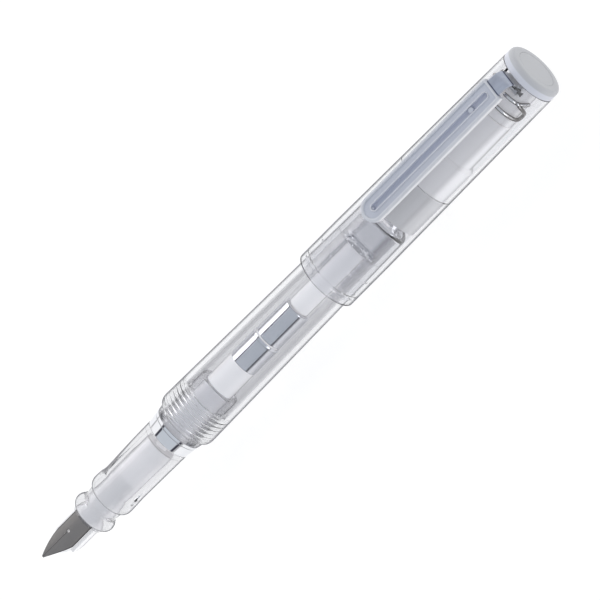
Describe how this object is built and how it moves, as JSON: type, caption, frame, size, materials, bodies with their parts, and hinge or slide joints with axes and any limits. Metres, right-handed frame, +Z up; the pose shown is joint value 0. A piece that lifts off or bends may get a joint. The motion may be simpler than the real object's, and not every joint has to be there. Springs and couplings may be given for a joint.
{
  "type": "fountain pen",
  "caption": "Clear fountain pen with its cap posted: steel nib, shaped grip, screw barrel, twist converter, sprung clip and flat finial.",
  "frame": {"origin": "below the middle of the pen's whole length with the cap posted, level with the lowest line of the cap's band; the pen's axis is 7.5 mm above it", "axes": "+X along the pen's axis from the nib tip to the finial, +Z up through the clip and the top of the nib"},
  "size_m": [0.1568, 0.015, 0.0179],
  "materials": {
    "clear_plastic": "clear, polished, moulded",
    "frosted_plastic": "translucent, lightly frosted",
    "clip_plastic": "translucent blue-grey, satin",
    "finial_plastic": "translucent light grey, satin",
    "chrome_trim": "mirror plated",
    "spring_wire": "drawn steel wire",
    "nib_steel": "polished steel sheet",
    "seal_rubber": "smooth, pale"
  },
  "bodies": {
    "section": {"grip_section": "clear_plastic", "nib": "nib_steel", "feed": "clear_plastic", "feed_housing": "frosted_plastic", "ink_tube": "frosted_plastic", "converter_sleeve": "chrome_trim", "converter_collar": "chrome_trim", "converter_bearing": "frosted_plastic"},
    "trim": {"trim_ring": "chrome_trim", "trim_washer": "chrome_trim"},
    "barrel": {"barrel": "clear_plastic", "barrel_plug": "clear_plastic"},
    "cap": {"cap_tube": "clear_plastic", "inner_cap": "frosted_plastic", "clip_carrier": "clear_plastic", "finial": "finial_plastic", "finial_inlay": "finial_plastic", "finial_screw": "chrome_trim", "clip_pin": "nib_steel", "clip_spring": "spring_wire"},
    "clip": {"clip_arm": "clip_plastic", "clip_plate": "chrome_trim"},
    "knob": {"converter_knob": "frosted_plastic", "knob_spindle": "frosted_plastic"},
    "piston": {"piston_rod": "frosted_plastic", "piston_seal": "seal_rubber"}
  },
  "joints": [
    {"name": "barrel_turn", "type": "hinge", "parent": "section", "child": "trim", "pos_m": [-0.03835, 0, 0.0075], "axis": [1, 0, 0], "range_deg": [0, 2161]},
    {"name": "barrel_advance", "type": "slide", "parent": "trim", "child": "barrel", "axis": [1, 0, 0], "range_m": [0, 0.0066]},
    {"name": "cap_pull", "type": "slide", "parent": "barrel", "child": "cap", "axis": [1, 0, 0], "range_m": [0, 0.045]},
    {"name": "clip_lift", "type": "hinge", "parent": "cap", "child": "clip", "pos_m": [0.07325, 0, 0.0105], "axis": [0, 1, 0], "range_deg": [0, 6], "stiffness_Nm_per_rad": 1, "springref_deg": -2.86, "deforming": ["clip_spring"]},
    {"name": "knob_turn", "type": "hinge", "parent": "section", "child": "knob", "pos_m": [0.01165, 0, 0.0075], "axis": [1, 0, 0], "range_deg": [0, 1441]},
    {"name": "piston_slide", "type": "slide", "parent": "section", "child": "piston", "axis": [-1, 0, 0], "range_m": [0, 0.016]}
  ],
  "couplings": [
    {"joint": "barrel_turn", "follows": "barrel_advance", "rad_per_m": 5712},
    {"joint": "knob_turn", "follows": "piston_slide", "rad_per_m": 1570.8}
  ]
}
